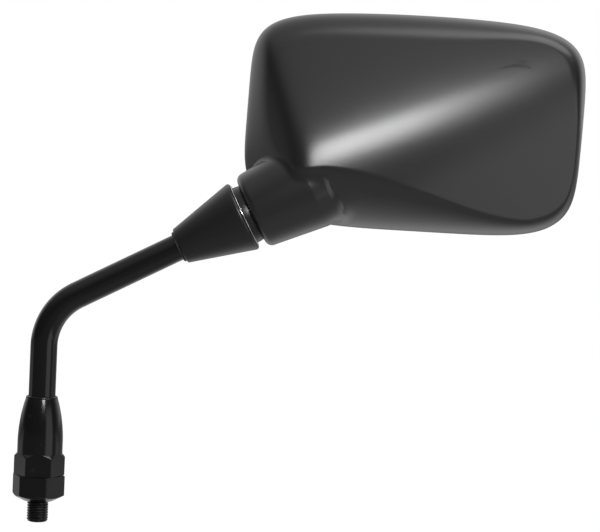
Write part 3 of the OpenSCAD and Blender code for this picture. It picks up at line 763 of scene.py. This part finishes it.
# bosses for the plate screws stand on the inner wall
boss = {"radius": 4.0, "hole": 1.5, "holeDepth": 10.0, "sites": [(-58, 31), (58, 31), (58, -31), (-20, -31)],
        "tall": 30}
glass = {"radius": 1400.0, "sink": 0.2, "thick": 2.0, "pad": 0.8, "plate": 1.8, "gasket": 2.0, "lip": 2.0,
         "lipHeight": 1.0}
glassCentre = head["rimY"] - glass["sink"] - glass["radius"]
plateBack = glass["radius"] - glass["thick"] - glass["pad"] - glass["plate"]
for site in boss["sites"]:
    at = Vector(site)
    top = glassCentre + math.sqrt(plateBack ** 2 - (at.length + boss["radius"]) ** 2)
    post = spunPiece(roundedLine([
        (0, boss["tall"]), (boss["radius"], boss["tall"]), (boss["radius"], 0, 0.3), (boss["hole"], 0, 0.2),
        (boss["hole"], boss["holeDepth"]), (0, boss["holeDepth"])]), closed=False, steps=48)
    for vert in post.verts:
        x, z = site[0] + vert.co.x, site[1] + vert.co.y
        if vert.co.z > boss["tall"] - 1:
            skin = skinTree.ray_cast(inHead @ Vector((x, 10.0, z)), Vector((0, -1, 0)))[0]
            vert.co = Vector((x, skin.y + head["wall"] * 0.5, z))
        else:
            vert.co = Vector((x, top - vert.co.z, z))
    bmesh.ops.recalc_face_normals(post, faces=post.faces)
    joinInto(shell, post, inHead)
solidSkin.free()
keepPiece(shell, "housing_moulded", "head", ["housing"], "housing", sharpFrom=52)
print("head: housing kept")


def glassSheet(section):
    # rows over the outline: share of the way out, inset, radius about the glass's centre of curvature
    bm = bmesh.new()
    columns = 192
    bmesh.ops.create_grid(bm, x_segments=columns, y_segments=len(section) - 1, size=1.0)
    for vert in bm.verts:
        share, inset, radius = section[round((vert.co.y + 1) / 2 * (len(section) - 1))]
        rim = rimPoint(math.pi * (vert.co.x + 1), inset) * share
        height = glassCentre + math.sqrt(radius ** 2 - rim.length_squared)
        vert.co = inHead @ Vector((rim.x, height, rim.y))
    bmesh.ops.remove_doubles(bm, verts=bm.verts, dist=2e-3)
    bmesh.ops.dissolve_degenerate(bm, edges=bm.edges, dist=1e-4)
    bmesh.ops.recalc_face_normals(bm, faces=bm.faces)
    return bm


glassInset = head["wall"] + glass["gasket"] + 0.1
outward = [k / 24 for k in range(25)]
front, back = glass["radius"], glass["radius"] - glass["thick"]
bevel = 0.25
section = [(s, glassInset + bevel, front) for s in outward]
section += [(1.0, glassInset + bevel - bevel * math.sin(a), front - bevel * (1 - math.cos(a)))
            for a in [math.pi / 8 * k for k in range(1, 5)]]
section += [(1.0, glassInset, back)] + [(s, glassInset, back) for s in reversed(outward[:-1])]
keepPiece(glassSheet(section), "mirror_glass_convex", "head", ["mirror_glass"], "mirror", sharpFrom=60)

outerInset = head["wall"] + 0.1
innerInset = glassInset + glass["lip"]
top = glass["radius"] + glass["lipHeight"]
low = glass["radius"] - glass["thick"] - glass["pad"]
softCorner = [(1 - math.cos(math.pi / 2 * k / 5), 1 - math.sin(math.pi / 2 * k / 5)) for k in range(6)]
outerSoft, innerSoft = 0.45, 0.7
section = [(1.0, outerInset, low)]
section += [(1.0, outerInset + outerSoft * a, top - outerSoft * b) for a, b in softCorner]
section += [(1.0, innerInset - innerSoft * a, top - innerSoft * b) for a, b in reversed(softCorner)]
section += [(1.0, innerInset, front + 0.01), (1.0, glassInset, front + 0.01), (1.0, glassInset, low),
            (1.0, outerInset, low)]
keepPiece(glassSheet(section), "gasket_rubber", "head", ["glass_gasket"], "rubber", sharpFrom=60)
print("glass unit made")

# light, floor and camera
studio = {"keyAt": (0.18, -0.45, 0.336), "keySize": 0.15, "keyWatts": 1.75, "keyTo": (0.14, -0.02, 0.17),
          "topAt": (0.48, -0.22, 1.05), "topSize": (0.8, 0.7), "topWatts": 4.5,
          "fillAt": (0.62, -0.46, 0.06), "fillSize": (0.5, 0.5), "fillWatts": 0.9,
          "front": 0.07, "overhead": 0.55, "white": 1.0, "backFade": 0.65, "diffuse": 0.32,
          "floorZ": -0.3, "floorNear": -0.12, "floorMid": 0.45, "floorFar": 1.3, "floorFade": 0.8,
          "floorGlow": 0.7, "floorSeen": 0.85}
target = Vector((0.119285, 0.0, 0.116730))  # what the camera looks at


def softBox(name, place, size, watts, facing):
    lamp = bpy.data.lights.new(name, "AREA")
    lamp.shape, lamp.size, lamp.size_y = "RECTANGLE", size[0], size[1]
    lamp.energy = watts
    box = bpy.data.objects.new(name, lamp)
    bpy.context.scene.collection.objects.link(box)
    box.location = place
    box.rotation_euler = (Vector(facing) - Vector(place)).to_track_quat("-Z", "Y").to_euler()


softBox("key_softbox", studio["keyAt"], (studio["keySize"], studio["keySize"]), studio["keyWatts"],
        studio["keyTo"])
softBox("top_softbox", studio["topAt"], studio["topSize"], studio["topWatts"], target)
softBox("fill_card", studio["fillAt"], studio["fillSize"], studio["fillWatts"], target)

world = bpy.data.worlds.new("studio")
bpy.context.scene.world = world
maker = NodeMaker(world)
direction = maker.add("ShaderNodeTexCoord", output=0)
depth, height = [maker.add("ShaderNodeSeparateXYZ", None, {0: direction}, output=k) for k in (1, 2)]
behind = maker.spread(depth, 0.05, 0.7) * (1.0 - studio["backFade"] * maker.spread(depth, 0.82, 1.0))
above = maker.spread(height, 0.25, 0.95)
seen, mirrored = maker.rays()
dim = studio["front"] + studio["overhead"] * above
reflected = dim + (studio["white"] - dim) * behind
level = seen + (1.0 - seen) * (mirrored * reflected + (1.0 - mirrored) * studio["diffuse"])
background = maker.tree.nodes["Background"]
background.inputs["Color"].default_value = (1.0, 1.0, 1.0, 1.0)
maker.link(level, background.inputs["Strength"])

floorMaterial = bpy.data.materials.new("floor_pale")
maker = NodeMaker(floorMaterial)
shader = maker.tree.nodes["Principled BSDF"]
shader.inputs["Base Color"].default_value = (0.5, 0.5, 0.5, 1.0)
shader.inputs["Roughness"].default_value = 0.9
shader.inputs["Specular IOR Level"].default_value = 0.0
seen, mirrored = maker.rays()
where = maker.add("ShaderNodeTexCoord", output=3)
along = maker.add("ShaderNodeSeparateXYZ", None, {0: where}, output=1)
nearer = maker.spread(along, studio["floorNear"], studio["floorMid"])
away = nearer * (1.0 - studio["floorFade"] * maker.spread(along, studio["floorMid"], studio["floorFar"]))
share = seen * studio["floorSeen"] + mirrored * studio["floorGlow"] * away
maker.link(maker.mix(share, (0.0, 0.0, 0.0, 1.0), (1.0, 1.0, 1.0, 1.0)), shader.inputs["Emission Color"])
shader.inputs["Emission Strength"].default_value = 1.0
bm = bmesh.new()
bmesh.ops.create_grid(bm, x_segments=4, y_segments=4, size=30.0)
bmesh.ops.translate(bm, verts=bm.verts, vec=(0, 0, studio["floorZ"]))
floorMesh = bpy.data.meshes.new("floor")
bm.to_mesh(floorMesh)
bm.free()
floor = bpy.data.objects.new("floor", floorMesh)
floorMesh.materials.append(floorMaterial)
bpy.context.scene.collection.objects.link(floor)

view = {"lens": 127.12, "distance": 1.0, "elevation": 3.0, "roll": 2.6}
lift, roll = math.radians(view["elevation"]), math.radians(view["roll"])
forward = Vector((0.0, math.cos(lift), -math.sin(lift)))
flatRight = Vector((1.0, 0.0, 0.0))
flatUp = flatRight.cross(forward)
right = flatRight * math.cos(roll) + flatUp * math.sin(roll)
upward = flatUp * math.cos(roll) - flatRight * math.sin(roll)
cameraData = bpy.data.cameras.new("camera")
cameraData.lens, cameraData.sensor_width = view["lens"], 36.0
camera = bpy.data.objects.new("camera", cameraData)
bpy.context.scene.collection.objects.link(camera)
aimed = Matrix((right, upward, -forward)).transposed().to_4x4()
camera.matrix_world = Matrix.Translation(target - forward * view["distance"]) @ aimed
bpy.context.scene.camera = camera
bpy.context.scene.view_settings.view_transform = "Standard"

print("scene ready")
